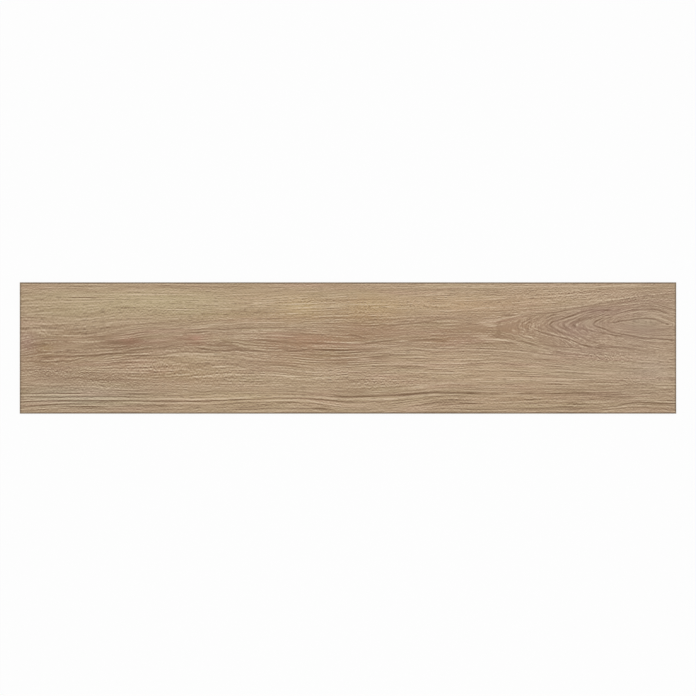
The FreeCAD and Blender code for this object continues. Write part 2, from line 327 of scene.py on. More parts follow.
        (-0.7, 1.0, [(314, 29.5), (322, 25.2), (331, 21.3), (338, 18.5)]),
        (-0.9, 1.05, [(284, 28), (300, 22), (310, 19.6), (322, 17), (335, 13.7), (342, 11.4), (350, 8),
                      (358, 5), (368, 2.4), (390, -1)]),
        (0.7, 1.0, [(311, 21.8), (318, 19.4), (328, 17.6), (336, 16.1), (342, 13.9), (352, 10.2)]),
        (-0.7, 1.0, [(323, 47.9), (332, 48.3)]),
        (-0.6, 1.0, [(332, 52), (340, 52.7)]),
        (-0.6, 1.0, [(367, 54), (378, 54.7)]),
        (-0.9, 1.3, [(388, 57.6), (400, 57.6)]),
        (-0.8, 1.2, [(393, 49.5), (400, 49.6)]),
        (-0.7, 1.2, [(395, 46), (402, 46.8)]),
        (-0.6, 1.0, [(259, 10.6), (270, 8.3), (280, 4.5), (292, 1.5), (308, -3)]),
        (-0.5, 1.0, [(272, 12.8), (295, 6), (318, 2), (338, 0.3)]),
        (-0.8, 1.6, [(265, 10.3), (276, 7), (288, 3.8)]),
        (-0.5, 1.1, [(359, 12.8), (375, 9), (385, 6.2), (398, 4), (415, 1)]),
        (-0.6, 1.6, [(352, 7), (372, 2), (395, 2.2), (413, 0.8)]),
        (0.7, 1.4, [(209, 42.6), (232, 43.6), (241, 46), (252, 47.5), (262, 51), (272, 53)]),
        (-0.8, 1.2, [(236, 49.8), (246, 50), (254, 50.4)]),
        (-0.6, 1.2, [(243, 44), (253, 44.6)]),
        (-0.7, 1.8, [(224, 23), (234, 23.2)]),
        (0.7, 1.3, [(249, 27.5), (259, 25.3)]),
        (-0.7, 1.7, [(234, 8), (254, 8)]),
        (-0.6, 1.0, [(219, 25), (235, 19.2)]),
        (0.9, 1.3, [(200, 14.3), (220, 13.5), (235, 12.5), (250, 10), (265, 6.7)]),
        (-0.5, 1.2, [(229, 8.5), (245, 7), (263, 7)]),
        (0.6, 2.5, [(202, 38.5), (215, 36), (228, 32)]),
        (0.5, 1.8, [(197, 18.7), (218, 18)]),
        (-0.6, 1.0, [(197, 25.7), (214, 23.8)]),
    ],
    # lines that turn back, as at the points of the cathedral: as above, with points from bottom to top
    "turns": [
        (-1.0, 1.05, [(314, 30), (310, 32.3), (307.8, 35.2), (309.5, 38), (313, 40.2), (318, 41.7),
                      (325, 44), (332, 46.5), (338, 48.6), (344, 50.7), (350, 52.7), (356, 54.6),
                      (361, 56), (370, 57.4)]),
        (0.5, 1.0, [(338, 23.5), (330, 25.8), (322, 28.8), (317, 32), (315, 35), (317, 38.3), (321, 40.4),
                    (327, 41.9), (333, 43.8), (341, 46.8)]),
        (-0.5, 1.0, [(342, 24.5), (332, 28), (323.5, 31.5), (320, 34), (319.5, 36), (322, 38.4),
                     (328, 40.2), (336, 43), (347, 46.8)]),
        (-0.5, 1.4, [(340, 27.3), (333, 30.8), (328.5, 34), (328, 36), (330.5, 38.8), (338, 41.8),
                     (348, 45.3)]),
        (0.4, 1.0, [(352, 24.5), (342, 28.5), (335, 32), (332, 35), (334.5, 38), (341, 41.3),
                    (350, 44.5)]),
        (-0.5, 2.2, [(364, 26.5), (354, 30), (347, 33), (343, 36), (347, 39.3), (354, 42), (364, 45),
                     (378, 47.5)]),
        (-1.0, 1.0, [(418, 21), (410, 22.2), (402, 24.3), (394, 27.5), (385, 31), (378, 33.6),
                     (373.5, 36), (376, 39), (380, 42), (386, 44.5), (396, 47)]),
        (-0.35, 1.2, [(325, 22), (312, 26.5), (304, 31), (300, 35.5), (303, 40), (310, 44), (320, 47.5)]),
        (0.2, 1.0, [(300, 20), (290, 24), (282, 28), (279, 31), (282, 34), (289, 38)]),
        (-0.3, 1.3, [(290, 18.5), (280, 22), (273, 27), (270.5, 31), (273, 36), (280, 40)]),
        (0.25, 1.0, [(276, 19), (269, 24), (266, 30), (268, 35), (274, 39)]),
        (-0.45, 1.8, [(250, 15.5), (238, 16.5), (231, 21), (229.5, 30), (230, 37), (236, 41.5),
                      (250, 43.5)]),
    ],
    # soft washes of colour: middle x and y, reach along and across, then red, green and blue display levels
    "baseColour": (173, 147, 118),
    "washStrength": 1.4,
    "washes": [
        # green and yellow along the top
        (-400, 66, 110, 26, (5, 8, 4)),
        (-262, 72, 90, 20, (7, 11, 6)),
        (-215, 52, 60, 8, (-2, 1, -3)),
        (-130, 68, 60, 20, (5, 5, 2)),
        (-68, 62, 34, 16, (8, 7, -2)),
        (33, 62, 50, 18, (8, 6, -3)),
        (160, 66, 80, 14, (9, 6, 1)),
        (279, 73, 50, 13, (6, 4, 3)),
        (365, 82, 60, 8, (4, 3, 4)),
        # brown heart, darkest in patches
        (-260, 8, 230, 14, (-5, -6, -6)),
        (-467, -3, 26, 16, (-10, -12, -13)),
        (-461, 0, 10, 7, (-2, -2, -7)),
        (-420, 16, 30, 12, (-3, -4, -5)),
        (-335, 8, 40, 13, (-12, -14, -13)),
        (-333, 12, 16, 6, (5, -2, 0)),
        (-233, 13, 22, 9, (-3, -9, -7)),
        (-229, 15, 8, 4, (9, 5, 7)),
        (-203, 14, 22, 5, (6, 6, 5)),
        (-181, 1, 22, 8, (-6, -7, -6)),
        (-114, 5, 16, 12, (-6, -8, -8)),
        (-52, 11, 60, 13, (-4, -11, -12)),
        (-15, -3, 20, 9, (-11, -13, -14)),
        (14, 24, 40, 24, (-7, -9, -10)),
        (70, 29, 50, 18, (-5, -8, -8)),
        (160, 29, 46, 15, (-4, -7, -7)),
        (140, 12, 30, 8, (-2, -5, -7)),
        # purple cathedral with its pale eye
        (250, 36, 50, 22, (-5, -8, -8)),
        (345, 28, 44, 24, (-8, -10, -4)),
        (360, -8, 66, 11, (-8, -9, -5)),
        (385, 57, 34, 7, (-6, -8, -3)),
        (446, 26, 54, 28, (-7, -7, -2)),
        (462, 71, 50, 19, (-7, -8, -4)),
        (448, 38, 28, 8, (7, 10, 8)),
        (365, 38, 9, 6, (8, 11, 9)),
        # lower half: a bluish end, pale rows and greyer ones
        (462, -34, 40, 22, (4, 6, 10)),
        (345, -36, 70, 16, (2, 4, 5)),
        (200, -30, 140, 16, (4, 4, 3)),
        (60, -66, 100, 14, (-3, -3, -4)),
        (270, -74, 110, 14, (-2, -3, -4)),
        (425, -72, 70, 14, (-4, -3, -2)),
        (-75, -18, 50, 14, (-5, -9, -10)),
        (-70, -46, 50, 14, (2, 3, 1)),
        (-160, -76, 110, 14, (5, 6, 3)),
        (-250, -17, 70, 9, (3, 3, 1)),
        (-250, -40, 70, 14, (-2, -3, -7)),
        (-385, -46, 105, 12, (-7, -8, -7)),
        (-455, -36, 30, 10, (-3, -3, -2)),
        (-410, -74, 90, 16, (-7, 0, 3)),
        (-490, 8, 16, 16, (-4, -7, 0)),
        # longer rows
        (190, 16, 110, 14, (-8, -9, -9)),
        (-280, 14, 220, 16, (-4, -4, -4)),
        (0, -82, 500, 12, (5, 5, 4)),
        (0, 84, 400, 16, (3, 3, 2)),
        (220, -46, 160, 16, (5, 4, 3)),
        (140, -14, 60, 10, (6, 5, 4)),
        (-10, -17, 60, 10, (-6, -8, -8)),
        (-440, -18, 60, 12, (-6, -8, -9)),
        (-330, -16, 60, 9, (-6, -7, -7)),
        (390, 50, 110, 16, (-3, -3, -2)),
        (-100, 46, 150, 10, (-1, -3, -5)),
    ],
    # where the streaks calm down: middle, reach, change
    "lively": [
        (322, 35, 34, 15, -0.5), (-365, 15, 16, 8, -0.6), (-290, 12, 40, 9, -0.4), (-236, 15, 14, 7, -0.6),
        (-75, 15, 40, 9, -0.5), (10, 30, 26, 9, -0.5), (75, 24, 40, 9, -0.5), (190, 30, 40, 14, -0.5),
        (244, 30, 14, 11, -0.6), (365, 37, 12, 6, -0.7), (445, 32, 50, 12, -0.75), (390, 38, 16, 6, -0.5),
        (355, 20, 30, 8, -0.4), (-120, 84, 120, 8, -0.3), (30, 82, 60, 8, -0.4), (-400, 66, 110, 24, -0.3),
        (-330, 30, 80, 12, -0.3), (60, -12, 140, 16, -0.2), (330, -42, 140, 18, -0.25),
        (-430, 1, 30, 6, -0.5), (285, 30, 30, 12, -0.3),
    ],
    # where short flecks grow denser
    "flecked": [
        (-440, -36, 50, 8, 1.2), (-375, -45, 40, 8, 1.0), (-290, -30, 40, 9, 0.9), (-345, -57, 50, 6, 0.8),
        (-190, -45, 60, 12, 0.5), (60, -52, 50, 8, 1.0), (-20, -38, 40, 10, 0.7), (30, 62, 40, 8, 1.0),
        (110, 66, 30, 7, 1.0), (-60, 72, 30, 7, 0.8), (395, -15, 36, 10, 1.2), (430, -44, 40, 8, 0.8),
        (430, 78, 60, 10, 0.7), (310, 84, 60, 10, 1.2), (-330, 62, 70, 8, 0.6), (275, 31, 26, 14, 1.5),
    ],
    # where the pin lines grow stronger
    "pinned": [
        (60, -18, 150, 14, 1.5), (330, -44, 150, 16, 1.6), (-60, -35, 80, 14, 0.5), (-120, 20, 120, 12, 0.3),
        (-10, 68, 110, 14, 0.7), (-380, 5, 100, 20, 0.4), (10, 8, 150, 12, 0.4),
    ],
    "fades": {"lines": 12.0, "turns": 2.0},  # longest fade at the ends of a stroke
    "fadeShare": 0.4,  # and the most of its length that a fade takes
    "halo": (0.35, 2.1, 0.7),  # share of the line's tone, then gap and width in half widths
    "crowdingReach": 4,  # how far to either side the grain's spacing is read
    "cathedralStart": (240, 275),
    "cathedralLevels": (10.5, 12.4, 15.6, 17.5),  # levels of the flow that bound it, fading in and out
    "cathedralScale": (1.5, 0.35),  # of the rings and of the offset from the heart line
    "longGrainBelow": (55, 68),  # long lines show only below the middle, from this far down
    # relief: share, lengths along and across, shift and seed of each layer of fibres
    "reliefFibres": [(0.6, 55, 2.4, 90, 3), (0.4, 24, 1.4, 200, 4)],
    "reliefSpan": (0.35, 0.8),  # fibre heights where the relief starts and is full
    "reliefShares": (0.55, 0.45),  # of the fibres and of the dark lines
    "reliefDepth": 0.2,
}


# ring field: offset from the heart line and gap to the heart joined by powers; its level lines are round Vs
def ringField(x, y):
    offset = y - curveThrough(grain["heartLine"], x)
    upper = curveThrough(grain["upperSpread"], x)
    lower = curveThrough(grain["lowerSpread"], x)
    rise = np.abs(offset / np.where(offset > 0, upper, lower))
    power = grain["point"]
    return (rise**power + curveThrough(grain["heartGap"], x) ** power) ** (1 / power)


# grain level: between two guides it runs evenly from one's level to the other's, so it is steady along both
def grainLevel(x, y):
    heights = [curveThrough(points, x) for level, points in grain["guides"]]
    levels = [level for level, points in grain["guides"]]
    found = levels[0] + y - heights[0]
    for k in range(1, len(levels)):
        share = (y - heights[k - 1]) / (heights[k] - heights[k - 1])
        found = np.where(share > 0, levels[k - 1] + share * (levels[k] - levels[k - 1]), found)
    return np.where(y > heights[-1], levels[-1] + y - heights[-1], found)


# drawn lines: bells of the distance from each curve, with faint halos beside the dark ones; the palest less
# the darkest is returned, and the dark ones as well
def drawnLines(x, y):
    dark = np.zeros_like(x)
    pale = np.zeros_like(x)
    haloShare, haloGap, haloWidth = grain["halo"]
    for kind, longestFade in grain["fades"].items():
        turned = kind == "turns"
        for tone, halfWidth, points in grain[kind]:
            path = [(b, a) for a, b in points] if turned else points
            start, end = path[0][0], path[-1][0]
            fade = min(longestFade, grain["fadeShare"] * (end - start))
            run, side = (y, x) if turned else (x, y)
            near = (run > start - fade) & (run < end + fade)
            run, side = run[near], side[near]
            slope = curveThrough(path, run + 0.5) - curveThrough(path, run - 0.5)
            gap = (side - curveThrough(path, run)) / (halfWidth * np.hypot(1, slope))
            ends = easedStep(run, start - fade, start + fade) * (1 - easedStep(run, end - fade, end + fade))
            bell = abs(tone) * ends * np.exp(-gap * gap)
            target = dark if tone < 0 else pale
            target[near] = np.maximum(target[near], bell)
            if tone < 0:
                halo = haloShare * abs(tone) * ends * np.exp(-((np.abs(gap) - haloGap) / haloWidth) ** 2)
                pale[near] = np.maximum(pale[near], halo)
    return pale - dark, dark


# sum of soft round patches, each its change at the middle and falling off as a bell
def patches(x, y, spots):
    total = np.zeros_like(x)
    for midX, midY, reachX, reachY, change in spots:
        total += change * np.exp(-((x - midX) / reachX) ** 2 - ((y - midY) / reachY) ** 2)
    return total


# grain fields: where the grain runs, the drawn lines, how lively the streaks are and the washes of colour
def grainFields(x, y):
    level = grainLevel(x, y)
    reach = grain["crowdingReach"]
    crowding = (grainLevel(x, y + reach) - grainLevel(x, y - reach)) / (2 * reach)
    offset = y - curveThrough(grain["heartLine"], x)
    ringScale, offsetScale = grain["cathedralScale"]
    inFrom, inFull, outFrom, outFull = grain["cathedralLevels"]
    inside = easedStep(x, *grain["cathedralStart"]) * easedStep(level, inFrom, inFull)
    drawn, dark = drawnLines(x, y)
    colour = []
    for channel, base in enumerate(grain["baseColour"]):
        spots = [(*wash[:4], grain["washStrength"] * wash[4][channel]) for wash in grain["washes"]]
        colour.append(base + patches(x, y, spots))
    return {
        "flow": np.stack([x, level, crowding], -1),
        "cathedral": np.stack([x, ringField(x, y) * ringScale, offset * offsetScale], -1),
        "inside": inside * (1 - easedStep(level, outFrom, outFull)),
        "drawn": drawn,
        "dark": dark,
        "lively": 1 + patches(x, y, grain["lively"]),
        "pinned": 1 + patches(x, y, grain["pinned"]),
        "flecked": 1 + patches(x, y, grain["flecked"]),
        "longGrain": easedStep(-y, *grain["longGrainBelow"]),
        "wash": np.stack([*map(linearLight, colour), np.ones_like(x)], -1),
    }


# face relief, in millimetres below the top: long fibres of lattice noise, deeper along the dark lines
def faceRelief(fields):
    along, across = fields["flow"][..., 0], fields["flow"][..., 1]
    fibres = 0.0
    for share, length, width, shift, seed in grain["reliefFibres"]:
        fibres = fibres + share * latticeNoise(along / length, across / width + shift, seed)
    fibreShare, lineShare = grain["reliefShares"]
    depth = fibreShare * easedStep(fibres, *grain["reliefSpan"]) + lineShare * np.clip(fields["dark"], 0, 1)
    return grain["reliefDepth"] * np.clip(depth, 0, 1)


plank = {
    "box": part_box("plank_tile"),
    # face lines, closer where the print turns: from, to, step
    "faceColumns": [(-500, -130, 3.7), (-130, 225, 4.4), (225, 260, 3.0), (260, 420, 1.75),
                    (420, 500, 2.4)],
    "faceRows": [(-100, -62, 0.64), (-62, -25, 0.95), (-25, 80, 0.7), (80, 100, 0.95)],
    "faceBevel": 0.8,
    "backBevel": 1.2,
    "rim": 10.0,
    "rib": 3.0,
    "cellDepth": 0.8,
    "cellsAlong": 32,
    "cellsAcross": 6,
    "cellLines": (-0.2, 0.3, 0.8),  # grid lines down a cell's wall, from its mouth edge
    "cellRamp": (-0.25, 0.9),  # where the wall starts and ends, from the same edge
    # box of the baked picture that each side gets, from left to right and up: most of it is the printed face
    "bakeBoxes": {
        "face": (0.002, 0.998, 0.002, 0.7),
        "back": (0.002, 0.998, 0.706, 0.904),
        "front": (0.002, 0.998, 0.91, 0.936),
        "rear": (0.002, 0.998, 0.942, 0.968),
        "right": (0.015, 0.485, 0.974, 0.998),
        "left": (0.515, 0.985, 0.974, 0.998),
    },
}


# lines across a face: even steps within each span, from bevel to bevel
def gradedLines(spans, inset):
    marks = [spans[0][0] + inset, *(end for start, end, step in spans[:-1]), spans[-1][1] - inset]
    runs = []
    for first, last, (start, end, step) in zip(marks, marks[1:], spans):
        runs.append(np.linspace(first, last, round((last - first) / step), endpoint=False))
    return np.append(np.concatenate(runs), marks[-1])


# grid lines for one direction of the back: the plank's edge, then lines down each wall of each cell
def backLines(half, cells):
    first = -half + plank["rim"]
    step = (2 * (half - plank["rim"]) + plank["rib"]) / cells
    starts = first + step * np.arange(cells)
    ends = starts + step - plank["rib"]
    offsets = np.array(plank["cellLines"])
    inner = np.concatenate([starts[:, None] + offsets, ends[:, None] - offsets[::-1]], 1).ravel()
    edge = half - plank["backBevel"]
    return np.concatenate([[-edge], inner, [edge]]), starts, ends


# depth of the cells along one direction: an eased ramp up from each mouth edge, the nearest cell counting
def cellRamp(lines, starts, ends):
    past = np.minimum(lines[:, None] - starts, ends - lines[:, None]).max(1)
    return easedStep(past, *plank["cellRamp"])


# rim of a grid with rows of columns, as vertex numbers going round from its first corner
def gridRim(rows, columns):
    number = np.arange(rows * columns).reshape(rows, columns)
    return np.concatenate([number[0, :-1], number[:-1, -1], number[-1, :0:-1], number[:0:-1, 0]])


# quads of such a grid, facing up or down
def gridQuads(rows, columns, upwards):
    number = np.arange(rows * columns).reshape(rows, columns)
    corners = [number[:-1, :-1], number[:-1, 1:], number[1:, 1:], number[1:, :-1]]
    return np.stack(corners if upwards else corners[::-1], -1).reshape(-1, 4)


# strip of quads between two loops of as many vertices, the lower loop first
def loopQuads(lower, upper):
    return np.stack([lower, np.roll(lower, -1), np.roll(upper, -1), upper], 1)


# strip of triangles between two lines with different steps: each step of one meets the point that the other
# has reached so far
def zipTriangles(upper, upperAt, lower, lowerAt):
    facing = np.searchsorted(lowerAt[1:-1], upperAt[1:])
    hanging = np.stack([upper[:-1], lower[facing], upper[1:]], 1)
    facing = np.searchsorted(upperAt[1:], lowerAt[1:], side="right")
    standing = np.stack([lower[:-1], lower[1:], upper[facing]], 1)
    return np.concatenate([hanging, standing])


# bake map: each side laid flat and stretched to its box of the picture, the walls with their height up it
def bakePlaces(places, sides, outer, top):
    across = (places[:, 0] / outer[0] + 1) / 2
    depth = (places[:, 1] / outer[1] + 1) / 2
    height = places[:, 2] / top
    u = np.zeros_like(across)
    v = np.zeros_like(across)
    for name, (left, right, low, high) in plank["bakeBoxes"].items():
        picked = sides == name
        run = depth if name in ("right", "left") else across
        rise = depth if name in ("face", "back") else height
        u[picked] = left + (right - left) * run[picked]
        v[picked] = low + (high - low) * rise[picked]
    return np.column_stack([u, v])


def buildPlank():
    low, high = np.array(plank["box"]) / mm
    halfX, halfY = (high - low)[:2] / 2
    top = high[2]
    bevel = plank["faceBevel"]

    # printed face
    xLines = gradedLines(plank["faceColumns"], bevel)
    yLines = gradedLines(plank["faceRows"], bevel)
    x, y = np.meshgrid(xLines, yLines)
    relief = faceRelief(grainFields(x, y))
    face = np.stack([x, y, top - relief + relief.min()], -1).reshape(-1, 3)
    faceRim = gridRim(len(yLines), len(xLines))

    # edges: the bevel's lower line, then the back bevel's upper line
    outer = np.array([halfX, halfY])
    slack = 0.01

    def pushOut(points, inset, height):
        onEdge = np.abs(points[:, :2]) > outer - inset - slack
        moved = np.where(onEdge, np.sign(points[:, :2]) * outer, points[:, :2])
        return np.column_stack([moved, np.full(len(points), height)])

    shoulder = pushOut(face[faceRim], bevel, top - bevel)

    # keyed back
    backX, startsX, endsX = backLines(halfX, plank["cellsAlong"])
    backY, startsY, endsY = backLines(halfY, plank["cellsAcross"])
    rise = cellRamp(backY, startsY, endsY)[:, None] * cellRamp(backX, startsX, endsX)[None, :]
    bx, by = np.meshgrid(backX, backY)
    back = np.stack([bx, by, rise * plank["cellDepth"]], -1).reshape(-1, 3)
    backRim = gridRim(len(backY), len(backX))
    foot = pushOut(back[backRim], plank["backBevel"], plank["backBevel"])

    shoulderFrom = len(face)
    footFrom = shoulderFrom + len(shoulder)
    backFrom = footFrom + len(foot)
    shoulderLoop = np.arange(len(shoulder)) + shoulderFrom
    footLoop = np.arange(len(foot)) + footFrom

    # walls, side by side: each from one corner to the next, and the last back to the first
    def cornersOf(columns, rows):
        return np.cumsum([0, columns - 1, rows - 1, columns - 1, rows - 1])

    def wallNumbers(corners, side, count):
        return np.arange(corners[side], corners[side + 1] + 1) % count

    upperCorners = cornersOf(len(xLines), len(yLines))
    lowerCorners = cornersOf(len(backX), len(backY))
    walls = []
    for side in range(4):
        axis = side % 2
        turn = 1 if side < 2 else -1
        up = wallNumbers(upperCorners, side, len(shoulder))
        down = wallNumbers(lowerCorners, side, len(foot))
        upperAt = turn * shoulder[up, axis]
        lowerAt = turn * foot[down, axis]
        walls.append(zipTriangles(shoulderLoop[up], upperAt, footLoop[down], lowerAt))

    # material number and faces of each part of the surface
    places = np.concatenate([face, shoulder, foot, back])
    slots, parts = zip(
        (0, gridQuads(len(yLines), len(xLines), True)),
        (0, loopQuads(shoulderLoop, faceRim)),
        (1, np.concatenate(walls)),
        (2, loopQuads(backRim + backFrom, footLoop)),
        (2, gridQuads(len(backY), len(backX), False) + backFrom),
    )
    counts = [len(part) for part in parts]
    faceCorners = np.repeat([part.shape[1] for part in parts], counts)
    mesh = bpy.data.meshes.new("wood_look_plank")
    mesh.from_pydata((places * mm).tolist(), [], sum((part.tolist() for part in parts), []))
    mesh.polygons.foreach_set("material_index", np.repeat(slots, counts))
    mesh.polygons.foreach_set("use_smooth", np.arange(sum(counts)) < counts[0])

    # what the materials read
    fields = grainFields(places[:, 0], places[:, 1])
    fields["edgeGap"] = np.column_stack([outer - np.abs(places[:, :2]), places[:, 2]])
    kinds = {
        "FLOAT_VECTOR": ("vector", ["flow", "cathedral", "edgeGap"]),
        "FLOAT_COLOR": ("color", ["wash"]),
        "FLOAT": ("value", ["inside", "drawn", "lively", "longGrain", "pinned", "flecked"]),
    }
    for kind, (field, names) in kinds.items():
        for name in names:
            layer = mesh.attributes.new(name, kind, "POINT")
            layer.data.foreach_set(field, fields[name].ravel().astype(np.float32))

    sideCounts = [counts[0] + counts[1], *map(len, walls), counts[3] + counts[4]]
    sides = np.repeat(["face", "front", "right", "rear", "left", "back"], sideCounts)
    sides = np.repeat(sides, faceCorners)
    loopPlaces = places[np.concatenate([part.ravel() for part in parts])]
    bakeMap = mesh.uv_layers.new(name="OFBake")
    bakeMap.uv.foreach_set("vector", bakePlaces(loopPlaces, sides, outer, top).ravel())
    mesh.update()
    piece = bpy.data.objects.new("wood_look_plank", mesh)
    bpy.context.collection.objects.link(piece)
    print("plank built,", (faceCorners - 2).sum(), "triangles")
    return piece


# node with its settings and its inputs, each a value or another node's output
def addNode(tree, kind, inputs=None, **settings):
    made = tree.nodes.new(kind)
    for name, value in settings.items():
        setattr(made, name, value)
    for socket, value in (inputs or {}).items():
        if isinstance(value, bpy.types.NodeSocket):
            tree.links.new(value, made.inputs[socket])
        else:
            made.inputs[socket].default_value = value
    return made


def addMath(tree, operation, *values):
    return addNode(tree, "ShaderNodeMath", dict(enumerate(values)), operation=operation).outputs[0]


def addMix(tree, factor, a, b):
    return addNode(tree, "ShaderNodeMix", {0: factor, 6: a, 7: b}, data_type="RGBA").outputs[2]


def addRange(tree, value, low, high, toLow=0.0, toHigh=1.0, kind="SMOOTHSTEP"):
    inputs = {"Value": value, "From Min": low, "From Max": high, "To Min": toLow, "To Max": toHigh}
    return addNode(tree, "ShaderNodeMapRange", inputs, interpolation_type=kind).outputs[0]


# band: 0 outside the first and last value, 1 between the middle two
def addBand(tree, value, low, lowFull, highFull, high):
    rise = addRange(tree, value, low, lowFull)
    return addMath(tree, "MULTIPLY", rise, addRange(tree, value, high, highFull))


def scaled(tree, vector, scale):
    return addNode(tree, "ShaderNodeVectorMath", {0: vector, 1: scale}, operation="MULTIPLY").outputs[0]


def addNoise(tree, vector, scale, detail=2.0, roughness=0.5):
    inputs = {"Vector": scaled(tree, vector, scale), "Scale": 1.0, "Detail": detail, "Roughness": roughness}
    return addNode(tree, "ShaderNodeTexNoise", inputs).outputs[0]


def readAttribute(tree, name, output):
    return addNode(tree, "ShaderNodeAttribute", attribute_name=name).outputs[output]


def newMaterial(name):
    made = bpy.data.materials.new(name)
    made.use_nodes = True
    tree = made.node_tree
    return made, tree, tree.nodes["Principled BSDF"]


# node group with its inputs and outputs, by name and kind, and the sockets to use inside it
def newGroup(name, inputs, outputs):
    group = bpy.data.node_groups.new(name, "ShaderNodeTree")
    for way, sockets in (("INPUT", inputs), ("OUTPUT", outputs)):
        for socket, kind in sockets.items():
            group.interface.new_socket(socket, in_out=way, socket_type=f"NodeSocket{kind}")
    given = addNode(group, "NodeGroupInput")
    wanted = addNode(group, "NodeGroupOutput")
    return group, given.outputs, wanted.inputs


def displayColour(red, green, blue):
    return (*linearLight([red, green, blue]).tolist(), 1.0)


noiseSpan = (0.3, 0.7)  # where most of a noise lies


# gaps to the plank's ends and long edges, and height, in millimetres
def readGaps(tree):
    return addNode(tree, "ShaderNodeSeparateXYZ", {0: readAttribute(tree, "edgeGap", "Vector")}).outputs


# what each material gives its shader: colour, a noise turned to roughness, how much it mirrors, and bumps
def fillShader(tree, shader, colour, noise, roughness, specular, bump):
    tree.links.new(colour, shader.inputs["Base Color"])
    tree.links.new(addRange(tree, noise, *noiseSpan, *roughness, "LINEAR"), shader.inputs["Roughness"])
    shader.inputs["Specular IOR Level"].default_value = specular
    tree.links.new(bump.outputs[0], shader.inputs["Normal"])


printLook = {
    "darkGrain": displayColour(108, 80, 52),
    "paleGrain": displayColour(218, 197, 168),
    "poreInk": displayColour(100, 75, 52),
    "rosy": displayColour(188, 146, 128),
    "olive": displayColour(166, 151, 110),
    # painted shade for the arris and the bevel
    "bevelPaintedShade": displayColour(104, 86, 64),
    # painted highlight just inside the long edges
    "paintedEdgeHighlight": displayColour(206, 178, 146),
    "wornEdge": displayColour(190, 168, 138),
    # streaks: lattice length along and across the grain, strength either way
    "streaks": [(190, 1.9, 0.2), (24, 1.75, 0.19), (9, 1.7, 0.16), (60, 1.75, 0.27)],
    "flecks": [(4.6, 1.7, 0.12), (2.6, 1.7, 0.38)],
    "fineStreaks": [(34, 0.6, 0.28), (9, 0.45, 0.28)],  # finer than the camera sees, for near views
    "rowDifference": (1.9, 2.85),  # how far on the row taken away lies, and gain
    "broadBands": (260, 8, 0.09),
    "longLines": (170, 4.6, 0.06, 0.5),  # noise along and across, width of the crossing, strength
    # pin lines: spacing, how far a noise along and across shifts them, and strength
    "pinLines": (3.7, 120, 7.0, 2.4, 0.5),
    "pinSpan": (0.35, 0.65),  # fibres where the pin lines fade in
    "poreCells": [(13.3, 1.8, 5), (6.5, 0.7, 5)],
    "poreSize": (0.4, 0.2),
    "poresKept": (0.65, 0.9),
    "poreShare": 0.4,
    "wideRows": (400, 2.2, 0.35, 1.45),  # noise along and across, its shift of the limit, and the limit
    "drawnStrength": 1.1,
    "drawnBreaks": (0.25, 0.6, 0.75, 1.1),  # fibres from and to, strength of a line from and to
    "underDrawn": (0.1, 1.0, 0.45),  # line strengths from and to, share of the fibres left under a line
    "fullTone": 1.4,  # tone where the dark or pale ink is full
    "hueClouds": (120, 14, 0.25, 0.26),  # noise along and across, its reach from the middle, and share
    # edges: gaps of the painted highlight line along them, then gaps and share of the painted shade, long
    # edges and ends
    "paintedHighlightGaps": (1.8, 3.2, 4.0, 6.0),
    "paintedHighlightShare": 0.12,
    # gaps and share of the painted shade along the long edges and the ends, then its patchiness
    "paintedShadeLong": (2.7, 1.3, 0.92),
    "paintedShadeEnds": (3.4, 0.9, 0.7),
    "paintedShadePatches": (1.05, 0.8),
    "wornGap": (0.4, 0.1),
    "wornNoise": 90,
    "wornSpan": (0.4, 0.6, 0.15, 0.7),
    "specular": 0.35,
    "roughness": (0.5, 0.66),
    "fibreHeight": 0.6,
    "bumpDepth": 0.00008,  # metres
}


